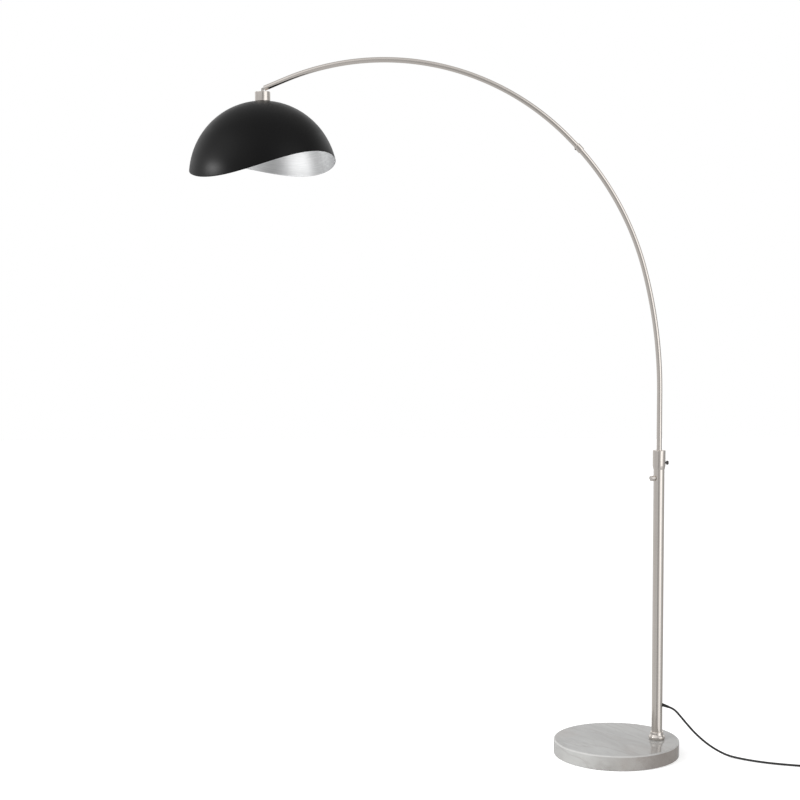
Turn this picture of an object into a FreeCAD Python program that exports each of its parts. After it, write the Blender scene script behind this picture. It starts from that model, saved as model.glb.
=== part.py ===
import FreeCAD, Part
import math
import os
import re
import Sketcher

# Arc floor lamp: marble disc base, tubular pole, swivelling bowed arm in two tubes, and a dome
# shade with a wavy rim that tilts on a knuckle.  Millimetres and degrees.  The origin is the
# centre of the base's underside, +Z is up, and the arm reaches out towards -X.
SIZES = {
    # base
    "base_radius": 190.5,
    "base_pad": 2,
    "marble_thickness": 44.5,
    "marble_round": 3.5,
    "pole_offset": 124,
    # pole
    "pole_radius": 16.5,
    "pole_wall": 1.5,
    "pole_top": 884,
    "flange_height": 23.5,
    "flange_radius": 24.8,
    "fit": 0.05,
    # bolt through the marble
    "bolt_radius": 6,
    "bolt_length": 80,
    "bolt_head": 7.5,
    "recess_radius": 23,
    "recess_depth": 16,
    "washer_radius": 20,
    "washer_thickness": 3,
    "spring_radius": 10.5,
    "spring_thickness": 2.5,
    "foot_plug_height": 38,
    # cord outlet
    "outlet_height": 152,
    "outlet_radius": 5,
    "cord_radius": 3.25,
    "boot_length": 20,
    "boot_droop": 20,
    "boot_skip": 2.4,
    "boot_barrel_radius": 4.7,
    "boot_lip_radius": 5.9,
    "boot_foot_radius": 4.9,
    "boot_tip_radius": 3.8,
    "pole_lead_radius": 2.2,
    "pole_lead_bend": 9.5,
    # dimmer
    "dimmer_height": 850.8,
    "dimmer_heading": 210,
    "dimmer_case_radius": 9.5,
    "dimmer_case_end": 11,
    "dimmer_neck_radius": 3.95,
    "dimmer_neck_end": 21,
    "shaft_radius": 2.5,
    "shaft_end": 28,
    "dimmer_nut_radius": 6.3,
    "knob_radius": 7.9,
    "knob_skirt": 1,
    "knob_gap": 2.9,
    "knob_reach": 31.9,
    # collar
    "collar_radius": 19.25,
    "collar_foot": 877,
    "collar_top": 934.7,
    "collar_bore": 12,
    "bush_length": 21,
    "lock_height": 896.6,
    "lock_screw_radius": 2.45,
    "lock_head_radius": 6.2,
    "lock_shank": 10.5,
    "lock_head": 6.9,
    # arm
    "arm_radius": 8,
    "arm_wall": 1.2,
    "arm_foot": 870.7,
    "stem_top": 1108.2,
    "lower_bend": 1437.9,
    "lower_bend_turn": 14.99,
    "middle_bend": 862.2,
    "middle_bend_turn": 27.52,
    "joint_kink": 1.78,
    "joint_gap": 0.3,
    "upper_run": 40.9,
    "upper_bend": 772.1,
    "upper_bend_turn": 67.95,
    "tip_run": 66.3,
    "tip_gap": 5.35,
    "coupler_radius": 10.25,
    "coupler_length": 22,
    "grub_radius": 2,
    "grub_place": 5,
    "spigot_length": 28,
    "arm_lead_radius": 1.8,
    # knuckle
    "tongue_radius": 3.5,
    "tongue_thickness": 3,
    "ear_radius": 3.6,
    "ear_thickness": 1.9,
    "ear_gap": 3.4,
    "tilt_pin_radius": 2,
    "nipple_radius": 4.9,
    "nipple_length": 22,
    # shade
    "cup_radius": 22.75,
    "cup_drop": 7.6,
    "cup_height": 27.4,
    "cup_wall": 1.2,
    "holder_foot": 1951,
    "holder_radius": 19.4,
    "holder_bore": 15,
    "holder_height": 40,
    "clamp_radius": 25.5,
    "clamp_height": 4,
    "dome_radius": 220.7,
    "dome_rise": 224.9,
    "dome_top": 1983.3,
    "dome_wall": 1.2,
    "rim_height": 1789.9,
    "rim_wave": 28.76,
    "rim_wave_heading": 8.18,
    "rim_lean": 15.1,
    "rim_lean_heading": -9.9,
    # bulb
    "bulb_radius": 30,
    "bulb_centre": 1902,
    "bulb_wall": 0.8,
    "cap_foot": 1955.3,
    "screw_radius": 13.2,
    # cord on the floor
    "coil_x": 600,
    "coil_y": -118,
    "coil_inner": 29,
    "coil_outer": 45.25,
    "coil_layers": 6.7,
    "tie_thickness": 0.5,
    "tie_width": 5,
    "plug_width": 26,
    "plug_depth": 22,
    "plug_thickness": 15,
    "plug_tail": 16,
    "blade_spread": 6.35,
}

doc = FreeCAD.newDocument("arc_floor_lamp")
sheet = doc.addObject("Spreadsheet::Sheet", "Sizes")
for row, (alias, size) in enumerate(SIZES.items(), 1):
    sheet.set(f"A{row}", alias)
    sheet.set(f"B{row}", str(size))
    sheet.setAlias(f"B{row}", alias)
doc.recompute()

nodes = []
UP = FreeCAD.Vector(0, 0, 1)


def linked(formula):
    """The formula with each driving dimension written as the sheet's own cell."""
    return re.sub(r"[a-z_]{3,}", lambda m: "Sizes." + m[0] if m[0] in SIZES else m[0], str(formula))


def value(formula):
    """The number that a formula of driving dimensions gives."""
    return float(sheet.evalExpression(linked(formula)))


def vector(x, y, z):
    return FreeCAD.Vector(value(x), value(y), value(z))


def bind(thing, **sizes):
    """Ties an object's properties to formulas of the sheet."""
    for prop, formula in sizes.items():
        thing.setExpression(prop, linked(formula))


def place(thing, at=(0, 0, 0), axis=UP, angle=0):
    """Puts an object's own origin at a point, turned about an axis."""
    thing.Placement = FreeCAD.Placement(vector(*at), FreeCAD.Rotation(axis, value(angle)))
    return thing


def aim(thing, at, direction):
    """Puts an object at a point with its own Z axis along a direction."""
    thing.Placement = FreeCAD.Placement(vector(*at), FreeCAD.Rotation(UP, direction))
    return thing


def node(thing):
    """Marks an object as one of the lamp's separate pieces."""
    nodes.append(thing)
    return thing


def plane_of(body, role):
    return next(f for f in body.Origin.OriginFeatures if f.Role == role)


def sketch_on(body, role, label):
    sketch = body.newObject("Sketcher::SketchObject", label)
    sketch.AttachmentSupport = (plane_of(body, role), [""])
    sketch.MapMode = "FlatFace"
    return sketch


def limit(sketch, kind, formula, *where):
    """A dimension of a sketch, tied to a formula."""
    size = value(formula)
    if kind == "Angle":
        size = math.radians(size)
    index = sketch.addConstraint(Sketcher.Constraint(kind, *where, size))
    sketch.setExpression(f"Constraints[{index}]", linked(formula))


def outline(sketch, corners):
    """A closed outline of straight sides, each corner held at its (x, y) formulas."""
    spots = [FreeCAD.Vector(value(x), value(y), 0) for x, y in corners]
    count = len(spots)
    for i in range(count):
        sketch.addGeometry(Part.LineSegment(spots[i], spots[(i + 1) % count]), False)
    for i in range(count):
        sketch.addConstraint(Sketcher.Constraint("Coincident", i, 2, (i + 1) % count, 1))
    for i, (x, y) in enumerate(corners):
        limit(sketch, "DistanceX", x, -1, 1, i, 1)
        limit(sketch, "DistanceY", y, -1, 1, i, 1)


def rounded(body, base, rounds):
    """Rounds the circular edges of a turned piece, each given by its (radius, height)."""
    doc.recompute()
    for number, ((radius, height), size) in enumerate(rounds):
        names = [
            f"Edge{i}"
            for i, edge in enumerate(base.Shape.Edges, 1)
            if isinstance(edge.Curve, Part.Circle)
            and abs(edge.Curve.Radius - value(radius)) < 0.01
            and abs(edge.CenterOfMass.z - value(height)) < 0.01
        ]
        fillet = body.newObject("PartDesign::Fillet", f"{body.Label}_round_{number}")
        fillet.Base = (base, names)
        bind(fillet, Radius=size)
        doc.recompute()
        base = fillet


def turned(label, profile, rounds=()):
    """A piece of revolution about its own Z axis, from a profile of (radius, height) formulas."""
    body = doc.addObject("PartDesign::Body", label)
    sketch = sketch_on(body, "XZ_Plane", f"{label}_profile")
    outline(sketch, profile)
    turn = body.newObject("PartDesign::Revolution", f"{label}_turn")
    turn.Profile = sketch
    turn.ReferenceAxis = (sketch, ["V_Axis"])
    turn.Angle = 360
    rounded(body, turn, rounds)
    return body


def ring(label, inner, outer, bottom, top, rounds=()):
    """A tube, washer or bush: a turned piece with a plain bore."""
    profile = [(inner, bottom), (outer, bottom), (outer, top), (inner, top)]
    return turned(label, profile, rounds)


def bent_tube(label, outer, inner, runs):
    """A round section swept from the body's origin, upwards and then left in its XZ plane.

    Each run is ("straight", length) or ("arc", radius, turn), and each starts where and as
    the one before it ends.  A tube has an inner radius; a solid lead has none.
    """
    body = doc.addObject("PartDesign::Body", label)
    section = sketch_on(body, "XY_Plane", f"{label}_section")
    for radius in filter(None, (outer, inner)):
        circle = Part.Circle(FreeCAD.Vector(), UP, value(radius))
        index = section.addGeometry(circle, False)
        section.addConstraint(Sketcher.Constraint("Coincident", index, 3, -1, 1))
        limit(section, "Radius", radius, index)
    spine = sketch_on(body, "XZ_Plane", f"{label}_spine")
    spot = FreeCAD.Vector()
    heading = math.pi / 2
    for number, (kind, size, *turn) in enumerate(runs):
        size_now = value(size)
        if kind == "straight":
            end = spot + FreeCAD.Vector(math.cos(heading), math.sin(heading), 0) * size_now
            spine.addGeometry(Part.LineSegment(spot, end), False)
        else:
            start = heading - math.pi / 2
            stop = start + math.radians(value(turn[0]))
            centre = spot - FreeCAD.Vector(math.cos(start), math.sin(start), 0) * size_now
            circle = Part.Circle(centre, UP, size_now)
            spine.addGeometry(Part.ArcOfCircle(circle, start, stop), False)
            end = centre + FreeCAD.Vector(math.cos(stop), math.sin(stop), 0) * size_now
            heading = stop + math.pi / 2
        if number == 0:
            spine.addConstraint(Sketcher.Constraint("Coincident", 0, 1, -1, 1))
            spine.addConstraint(Sketcher.Constraint("Vertical", 0))
        else:
            spine.addConstraint(Sketcher.Constraint("Tangent", number - 1, 2, number, 1))
        if kind == "straight":
            limit(spine, "Distance", size, number)
        else:
            limit(spine, "Radius", size, number)
            limit(spine, "Angle", turn[0], number)
        spot = end
    doc.recompute()
    pipe = body.newObject("PartDesign::AdditivePipe", f"{label}_pipe")
    pipe.Profile = section
    pipe.Spine = (spine, [])
    return body


def cylinder(label, radius, length, at=(0, 0, 0), direction=UP):
    rod = doc.addObject("Part::Cylinder", label)
    bind(rod, Radius=radius, Height=length)
    return aim(rod, at, direction)


def cone(label, foot, tip, length, at, direction):
    taper = doc.addObject("Part::Cone", label)
    bind(taper, Radius1=foot, Radius2=tip, Height=length)
    return aim(taper, at, direction)


def block(label, size, centre):
    """A box about its centre."""
    box = doc.addObject("Part::Box", label)
    bind(box, Length=size[0], Width=size[1], Height=size[2])
    corner = [f"{middle} - ({side}) / 2" for middle, side in zip(centre, size)]
    return place(box, corner)


def joined(label, pieces):
    union = doc.addObject("Part::MultiFuse", label)
    union.Shapes = pieces
    return union


def cut(label, base, tools):
    """The base with every tool taken away."""
    result = doc.addObject("Part::Cut", label)
    result.Base = base
    result.Tool = tools[0] if len(tools) == 1 else joined(f"{label}_cuts", tools)
    return result


def softened(label, base, radius, pick=lambda edge: True):
    """The base with the picked edges rounded."""
    doc.recompute()
    fillet = doc.addObject("Part::Fillet", label)
    fillet.Base = base
    size = value(radius)
    fillet.Edges = [(i, size, size) for i, e in enumerate(base.Shape.Edges, 1) if pick(e)]
    return fillet


def heading_vector(degrees):
    angle = math.radians(degrees)
    return FreeCAD.Vector(math.cos(angle), math.sin(angle), 0)


# --- the arm's line in the XZ plane -------------------------------------------------------
def walk(spot, heading, runs):
    """Where a chain of left-turning runs ends, as (x, z) and the heading in degrees."""
    x, z = spot
    for kind, size, *turn in runs:
        angle = math.radians(heading)
        length = value(size)
        if kind == "straight":
            x += length * math.cos(angle)
            z += length * math.sin(angle)
        else:
            heading += value(turn[0])
            x += length * (math.sin(math.radians(heading)) - math.sin(angle))
            z -= length * (math.cos(math.radians(heading)) - math.cos(angle))
    return (x, z), heading


STEM = ("straight", "stem_top - arm_foot")
LOWER_RUNS = [
    STEM,
    ("arc", "lower_bend", "lower_bend_turn"),
    ("arc", "middle_bend", "middle_bend_turn"),
]
UPPER_RUNS = [
    ("straight", "upper_run - joint_gap"),
    ("arc", "upper_bend", "upper_bend_turn"),
    ("straight", "tip_run"),
]
JOINT, JOINT_HEADING = walk((value("pole_offset"), value("arm_foot")), 90, LOWER_RUNS)
UPPER_HEADING = JOINT_HEADING + value("joint_kink")
UPPER_START, _ = walk(JOINT, UPPER_HEADING, [("straight", "joint_gap")])
TIP, TIP_HEADING = walk(UPPER_START, UPPER_HEADING, UPPER_RUNS)
PIVOT, _ = walk(TIP, TIP_HEADING, [("straight", "tip_gap")])
SHADE_X = PIVOT[0]
CUP_TOP = PIVOT[1] - value("cup_drop")


def along_arm(spot, heading, distance=0):
    """A point on the arm's line, moved along it, and the direction of the line there."""
    angle = math.radians(heading)
    direction = FreeCAD.Vector(math.cos(angle), 0, math.sin(angle))
    point = FreeCAD.Vector(spot[0], 0, spot[1]) + direction * distance
    return point, direction


# --- base ---------------------------------------------------------------------------------
MARBLE_TOP = "(base_pad + marble_thickness)"
POLE = ("pole_offset", 0)


def make_base():
    node(ring_disc("base_felt", "base_radius - 6", 0, "base_pad"))
    disc = turned(
        "marble_disc",
        [
            (0, "base_pad"),
            ("base_radius", "base_pad"),
            ("base_radius", MARBLE_TOP),
            (0, MARBLE_TOP),
        ],
        [
            (("base_radius", MARBLE_TOP), "marble_round"),
            (("base_radius", "base_pad"), 1.5),
        ],
    )
    recess = cylinder("bolt_recess", "recess_radius", "recess_depth + 1", (*POLE, "base_pad - 1"))
    hole = cylinder("bolt_hole", "bolt_radius + 0.6", "marble_thickness + 2", (*POLE, "base_pad"))
    node(cut("marble_base", disc, [recess, hole]))


def ring_disc(label, radius, bottom, top):
    profile = [(0, bottom), (radius, bottom), (radius, top), (0, top)]
    return turned(label, profile)


RECESS_ROOF = "(base_pad + recess_depth)"


def make_bolt():
    """The bolt comes up through the marble into the threaded plug in the pole's foot."""
    washer_seat = f"{RECESS_ROOF} - washer_thickness"
    head_seat = f"({washer_seat} - spring_thickness)"
    washer = ring(
        "base_washer", "bolt_radius + 0.4", "washer_radius", washer_seat, RECESS_ROOF
    )
    node(place(washer, (*POLE, 0)))
    spring = ring("spring_washer", "bolt_radius + 0.3", "spring_radius", head_seat, washer_seat)
    gap = block("spring_washer_split", (8, 1.2, 6), ("pole_offset + 8.5", 0, f"{head_seat} + 1.5"))
    place(spring, (*POLE, 0))
    node(cut("base_spring_washer", spring, [gap]))
    shank = cylinder("bolt_shank", "bolt_radius - fit", "bolt_length", (*POLE, head_seat))
    head = doc.addObject("Part::Prism", "bolt_head_hex")
    head.Polygon = 6
    bind(head, Circumradius="1.83 * bolt_radius", Height="bolt_head")
    place(head, (*POLE, f"{head_seat} - bolt_head"))
    node(joined("base_bolt", [shank, head]))
    plug = ring(
        "pole_foot_plug", "bolt_radius", "pole_radius - pole_wall - fit", MARBLE_TOP,
        f"{MARBLE_TOP} + foot_plug_height",
    )
    node(place(plug, (*POLE, 0)))


# --- pole ---------------------------------------------------------------------------------
def make_pole():
    outer = cylinder("pole_skin", "pole_radius", f"pole_top - {MARBLE_TOP}", (*POLE, MARBLE_TOP))
    bore = cylinder(
        "pole_bore", "pole_radius - pole_wall", f"pole_top - {MARBLE_TOP} + 2",
        (*POLE, f"{MARBLE_TOP} - 1"),
    )
    out = FreeCAD.Vector(1, 0, 0)
    outlet = cylinder(
        "outlet_hole", "outlet_radius", "pole_radius", ("pole_offset + 10", 0, "outlet_height"), out
    )
    toward_knob = heading_vector(value("dimmer_heading"))
    knob_hole = cylinder(
        "knob_hole", "dimmer_neck_radius + 0.35", "pole_radius + 5", (*POLE, "dimmer_height"),
        toward_knob,
    )
    node(cut("lower_pole", outer, [bore, outlet, knob_hole]))
    flange = turned(
        "base_flange",
        [
            ("pole_radius + fit", 0),
            ("flange_radius - 2.2", 0),
            ("flange_radius", 4),
            ("flange_radius", 9),
            ("flange_radius - 4.6", 14.5),
            ("flange_radius - 5.1", "flange_height"),
            ("pole_radius + fit", "flange_height"),
        ],
        [
            (("flange_radius", 9), 4),
            (("flange_radius", 4), 2.5),
            (("flange_radius - 4.6", 14.5), 3),
            (("flange_radius - 5.1", "flange_height"), 2.2),
        ],
    )
    node(place(flange, (*POLE, MARBLE_TOP)))


def make_outlet():
    """The tapered rubber boot that the cord leaves through, and the lead inside the pole."""
    out = FreeCAD.Vector(1, 0, 0)
    face = "pole_offset + pole_radius"
    height = "outlet_height"
    barrel = cylinder("boot_barrel", "boot_barrel_radius", 6, (f"{face} - 4", 0, height), out)
    lip = cylinder("boot_lip", "boot_lip_radius", 1.4, (f"{face} + fit", 0, height), out)
    droop = math.radians(value("boot_droop"))
    down = FreeCAD.Vector(math.cos(droop), 0, -math.sin(droop))
    start_x = f"{face} + boot_skip * cos(boot_droop)"
    start_z = f"{height} - boot_skip * sin(boot_droop)"
    taper = cone(
        "boot_taper", "boot_foot_radius", "boot_tip_radius", "boot_length - boot_skip",
        (start_x, 0, start_z), down,
    )
    node(joined("cord_strain_relief", [barrel, lip, taper]))
    lead_foot = "(outlet_height + 8)"
    rise = f"dimmer_height - 21.6 - {lead_foot}"
    lead = bent_tube(
        "pole_lead",
        "pole_lead_radius",
        None,
        [("straight", rise), ("arc", "pole_lead_bend", 45), ("straight", 4)],
    )
    node(place(lead, ("pole_offset + 4.5", 0, lead_foot)))


# --- dimmer -------------------------------------------------------------------------------
def make_dimmer():
    """A rotary dimmer inside the pole's top, with its shaft out through the wall."""
    toward = heading_vector(value("dimmer_heading"))

    def outward(label, radius, start, end):
        at = vector("pole_offset", 0, "dimmer_height") + toward * value(start)
        return cylinder(label, radius, f"{end} - ({start})", tuple(at), toward)

    case = outward("dimmer_case", "dimmer_case_radius", -9, "dimmer_case_end")
    neck = outward("dimmer_neck", "dimmer_neck_radius", "dimmer_case_end", "dimmer_neck_end")
    bore = outward("dimmer_neck_bore", "shaft_radius + fit", 2, "dimmer_neck_end + 1")
    node(cut("dimmer_body", joined("dimmer_solid", [case, neck]), [bore]))
    nut = ring(
        "dimmer_nut", "dimmer_neck_radius + fit", "dimmer_nut_radius", 0, 2,
        [(("dimmer_nut_radius", 2), 0.5)],
    )
    at = vector("pole_offset", 0, "dimmer_height") + toward * value("pole_radius + 0.1")
    node(aim(nut, tuple(at), toward))
    node(outward("dimmer_shaft", "shaft_radius", 2.2, "shaft_end"))
    knob_back = "(pole_radius + knob_gap)"
    knob_face = f"knob_reach - {knob_back}"
    shaft_seat = f"shaft_end - {knob_back}"
    knob = turned(
        "dimmer_knob",
        [
            ("shaft_radius", 3),
            ("knob_radius - knob_skirt", 3),
            ("knob_radius - knob_skirt", 0),
            ("knob_radius", 0),
            ("knob_radius", knob_face),
            (0, knob_face),
            (0, shaft_seat),
            ("shaft_radius", shaft_seat),
        ],
        [(("knob_radius", knob_face), 1.6)],
    )
    at = vector("pole_offset", 0, "dimmer_height") + toward * value(knob_back)
    node(aim(knob, tuple(at), toward))


# --- collar -------------------------------------------------------------------------------
def make_collar():
    """The collar on the pole's top holds two bushes that the arm's stem turns in."""
    blank = turned(
        "collar_blank",
        [
            ("pole_radius + fit", "collar_foot"),
            ("pole_radius + 0.6", "collar_foot"),
            ("collar_radius", "collar_foot + 11"),
            ("collar_radius", "collar_top"),
            ("arm_radius + 0.6", "collar_top"),
            ("arm_radius + 0.6", "collar_top - 3"),
            ("collar_bore", "collar_top - 3"),
            ("collar_bore", "pole_top + 3.4"),
            ("pole_radius + fit", "pole_top + 3.4"),
        ],
        [(("collar_radius", "collar_top"), 1.2)],
    )
    place(blank, (*POLE, 0))
    out = FreeCAD.Vector(1, 0, 0)
    thread = cylinder(
        "lock_thread", "lock_screw_radius + fit", 20, ("pole_offset + 5", 0, "lock_height"), out
    )
    node(cut("pole_collar", blank, [thread]))
    upper = ring(
        "upper_bush", "arm_radius + fit", "collar_bore - fit", "collar_top - 3 - bush_length",
        "collar_top - 3",
    )
    node(place(upper, (*POLE, 0)))
    lower = turned(
        "lower_bush",
        [
            (4, "arm_foot - 6"),
            ("pole_radius - pole_wall - fit", "arm_foot - 6"),
            ("pole_radius - pole_wall - fit", "pole_top"),
            ("pole_radius - fit", "pole_top"),
            ("pole_radius - fit", "pole_top + 3.3"),
            ("arm_radius + fit", "pole_top + 3.3"),
            ("arm_radius + fit", "arm_foot - 1.7"),
            (4, "arm_foot - 1.7"),
        ],
    )
    node(place(lower, (*POLE, 0)))


def make_lock():
    """A thumb screw in the collar presses a soft pad on the stem."""
    out = FreeCAD.Vector(1, 0, 0)
    tip = "pole_offset + arm_radius + fit"
    node(cylinder("lock_pad", "lock_screw_radius - fit", 2.8, (tip, 0, "lock_height"), out))
    end = "(lock_shank + lock_head)"
    screw = turned(
        "lock_screw",
        [
            (0, 0),
            ("lock_screw_radius", 0),
            ("lock_screw_radius", "lock_shank"),
            ("lock_head_radius", "lock_shank"),
            ("lock_head_radius", end),
            (0, end),
        ],
        [(("lock_head_radius", end), 1), (("lock_head_radius", "lock_shank"), 0.6)],
    )
    node(aim(screw, (f"{tip} + 2.85", 0, "lock_height"), out))


# --- arm ----------------------------------------------------------------------------------
def make_arm():
    inner = "arm_radius - arm_wall"
    lower = bent_tube("lower_arm_tube", "arm_radius", inner, LOWER_RUNS)
    node(place(lower, (*POLE, "arm_foot")))
    upper = bent_tube("upper_arm_tube", "arm_radius", inner, UPPER_RUNS)
    start, _ = along_arm(UPPER_START, UPPER_HEADING)
    node(place(upper, tuple(start), FreeCAD.Vector(0, -1, 0), UPPER_HEADING - 90))
    foot = turned(
        "stem_end_bush",
        [
            (3.5, -1.5),
            ("arm_radius - 0.2", -1.5),
            ("arm_radius - 0.2", "-fit"),
            ("arm_radius - arm_wall - 0.1", "-fit"),
            ("arm_radius - arm_wall - 0.1", 9),
            (3.5, 9),
        ],
    )
    node(place(foot, (*POLE, "arm_foot")))

    middle = JOINT_HEADING + value("joint_kink") / 2
    back, direction = along_arm(JOINT, middle, -value("coupler_length") / 2)
    sleeve = ring(
        "coupler_sleeve", "arm_radius + 0.4", "coupler_radius", 0, "coupler_length",
        [(("coupler_radius", 0), 0.8), (("coupler_radius", "coupler_length"), 0.8)],
    )
    aim(sleeve, tuple(back), direction)
    centre, _ = along_arm(JOINT, middle)
    under = FreeCAD.Vector(direction.z, 0, -direction.x)
    under = under if under.z < 0 else under * -1
    grub_line = centre + direction * value("grub_place")
    thread = cylinder("grub_thread", "grub_radius", 12, tuple(grub_line + under * 4), under)
    node(cut("arm_coupler", sleeve, [thread]))
    at = grub_line + under * value("arm_radius + 0.25")
    grub = cylinder("grub_blank", "grub_radius - fit", 3.6, tuple(at), under)
    socket = cylinder("grub_socket", "grub_radius / 2", 3, tuple(at + under * 1.6), under)
    node(cut("coupler_grub_screw", grub, [socket]))
    back, _ = along_arm(JOINT, middle, -value("spigot_length") / 2)
    spigot = ring("coupler_spigot", 4.5, "arm_radius - arm_wall - 0.5", 0, "spigot_length")
    node(aim(spigot, tuple(back), direction))


def make_arm_lead():
    """The lamp's lead, up the stem and along both tubes."""
    lead = bent_tube(
        "arm_lead",
        "arm_lead_radius",
        None,
        [
            ("straight", "stem_top - arm_foot + 8"),
            ("arc", "lower_bend", "lower_bend_turn"),
            ("arc", "middle_bend", "middle_bend_turn"),
            ("arc", 300, "joint_kink"),
            ("straight", "upper_run - 9.4"),
            ("arc", "upper_bend", "upper_bend_turn"),
            ("straight", "tip_run - 14"),
        ],
    )
    node(place(lead, (*POLE, "arm_foot - 8")))


def make_tip():
    """A plug in the arm's end carries the flat tongue that the knuckle's ears straddle."""
    back, direction = along_arm(PIVOT, TIP_HEADING, -value("tip_gap"))
    plug = cylinder("tip_plug", "arm_radius - arm_wall - fit", 12, tuple(back), direction * -1)
    side = FreeCAD.Vector(0, 1, 0)
    pivot = FreeCAD.Vector(PIVOT[0], 0, PIVOT[1])
    half = value("tongue_thickness") / 2
    reach = value("tongue_radius")
    round_end = cylinder(
        "tongue_round", "tongue_radius", "tongue_thickness", tuple(pivot - side * half), side
    )
    tongue = doc.addObject("Part::Box", "tongue_flat")
    bind(tongue, Length="tip_gap + 1", Width="tongue_thickness", Height="2 * tongue_radius")
    across = FreeCAD.Vector(direction.z, 0, -direction.x)
    turn = FreeCAD.Rotation(direction * -1, side, across, "XYZ")
    corner = pivot + turn.multVec(FreeCAD.Vector(0, -half, -reach))
    tongue.Placement = FreeCAD.Placement(corner, turn)
    solid = joined("tip_solid", [plug, round_end, tongue])
    hole = cylinder("tongue_hole", "tilt_pin_radius + fit", 5, tuple(pivot - side * 2.5), side)
    node(cut("arm_tip_plug", solid, [hole]))
    outside = value("ear_gap / 2 + ear_thickness + 0.3")
    shank = cylinder("pin_shank", "tilt_pin_radius", 8.4, tuple(pivot - side * outside), side)
    head = cylinder(
        "pin_head", "tilt_pin_radius + 1", 1.2, tuple(pivot - side * (outside + 1)), side
    )
    collar = cylinder("pin_collar", "tilt_pin_radius + 0.9", 1, tuple(pivot + side * outside), side)
    node(joined("tilt_pin", [shank, head, collar]))


# --- shade --------------------------------------------------------------------------------
def make_knuckle():
    """Two ears on a hollow threaded nipple that hangs the cup and the lampholder."""
    side = FreeCAD.Vector(0, 1, 0)
    x, z = PIVOT
    seat = CUP_TOP
    foot = cylinder("knuckle_foot", "nipple_radius - 0.3", z - 3.8 - seat, (x, 0, seat))
    nipple = cylinder(
        "knuckle_nipple", "nipple_radius", "nipple_length", (x, 0, f"{seat} - nipple_length")
    )
    thick = value("ear_thickness")
    ears = []
    for number, centre in enumerate((-1, 1)):
        y = centre * value("ear_gap + ear_thickness") / 2
        round_end = cylinder(
            f"ear_round_{number}", "ear_radius", "ear_thickness", (x, y - thick / 2, z), side
        )
        web = block(f"ear_web_{number}", ("2 * ear_radius", "ear_thickness", 4.6), (x, y, z - 2.3))
        ears += [round_end, web]
    solid = joined("knuckle_solid", [foot, nipple, *ears])
    hole = cylinder("knuckle_hole", "tilt_pin_radius + 0.03", 12, (x, -6, z), side)
    node(cut("shade_knuckle", solid, [hole]))
    nut = doc.addObject("Part::Prism", "cup_nut_hex")
    nut.Polygon = 6
    bind(nut, Circumradius="nipple_radius + 3.1", Height=3)
    place(nut, (x, 0, seat - 4.4))
    bore = cylinder("cup_nut_bore", "nipple_radius + fit", 5, (x, 0, seat - 5.4))
    node(cut("cup_nut", nut, [bore]))


def make_cup():
    cup = turned(
        "socket_cup",
        [
            ("nipple_radius + fit", "cup_height"),
            ("cup_radius", "cup_height"),
            ("cup_radius", 0),
            ("cup_radius - cup_wall", 0),
            ("cup_radius - cup_wall", "cup_height - cup_wall - 0.1"),
            ("nipple_radius + fit", "cup_height - cup_wall - 0.1"),
        ],
        [(("cup_radius", "cup_height"), 1.4)],
    )
    node(place(cup, (SHADE_X, 0, CUP_TOP - value("cup_height"))))


def make_lampholder():
    """A moulded lampholder with its brass screw shell, centre contact and shade ring."""
    body = turned(
        "lamp_socket",
        [
            ("nipple_radius + fit", "holder_height"),
            ("holder_radius - 3.4", "holder_height"),
            ("holder_radius", "holder_height - 6"),
            ("holder_radius", 0),
            ("holder_bore", 0),
            ("holder_bore", "holder_height - 5"),
            ("nipple_radius + fit", "holder_height - 5"),
        ],
        [(("holder_radius", 0), 1)],
    )
    node(place(body, (SHADE_X, 0, "holder_foot")))
    shell = ring("socket_shell", "holder_bore - 0.9", "holder_bore - 0.3", 0, 29)
    node(place(shell, (SHADE_X, 0, "holder_foot + 3")))
    contact = ring_disc("socket_contact", 4.6, 0, 1.4)
    node(place(contact, (SHADE_X, 0, "holder_foot + 33")))
    clamp = ring(
        "shade_ring", "holder_radius + 0.1", "clamp_radius", 0, "clamp_height",
        [(("clamp_radius", 0), 1)],
    )
    node(place(clamp, (SHADE_X, 0, "dome_top - clamp_height - 3.4")))


def rim_block():
    """The waste below the rim: a block whose top is a saddle, leaning to one side.

    A straight edge that turns as it moves along makes the saddle, so the block is a ruled
    loft between two upright faces with slanted tops.
    """
    reach = 260
    turn = FreeCAD.Rotation(UP, value("rim_wave_heading"))
    lean = heading_vector(value("rim_lean_heading")) * value("rim_lean / dome_radius")
    twist = value("2 * rim_wave / dome_radius / dome_radius")
    faces = []
    for along in (-reach, reach):
        corners = []
        for across in (-reach, reach):
            flat = turn.multVec(FreeCAD.Vector(along, across, 0))
            height = value("rim_height") - twist * along * across + lean.dot(flat)
            corners.append(flat + FreeCAD.Vector(SHADE_X, 0, height))
        low = [FreeCAD.Vector(c.x, c.y, value("rim_height") - 400) for c in corners]
        faces.append(Part.makePolygon([corners[0], corners[1], low[1], low[0], corners[0]]))
    waste = doc.addObject("Part::Feature", "rim_waste")
    waste.Shape = Part.makeLoft(faces, True, True)
    return waste


def make_dome():
    def egg(label, less):
        shape = doc.addObject("Part::Ellipsoid", label)
        bind(
            shape,
            Radius1=f"dome_rise - {less}",
            Radius2=f"dome_radius - {less}",
            Radius3=f"dome_radius - {less}",
        )
        shape.Angle1 = -90
        shape.Angle2 = 90
        return place(shape, (SHADE_X, 0, "dome_top - dome_rise"))

    outside = egg("dome_outside", "0")
    inside = egg("dome_inside", "dome_wall")
    hole = cylinder("dome_hole", "holder_radius + 0.3", 40, (SHADE_X, 0, "dome_top - 20"))
    node(cut("dome_shade", outside, [inside, rim_block(), hole]))


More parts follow.
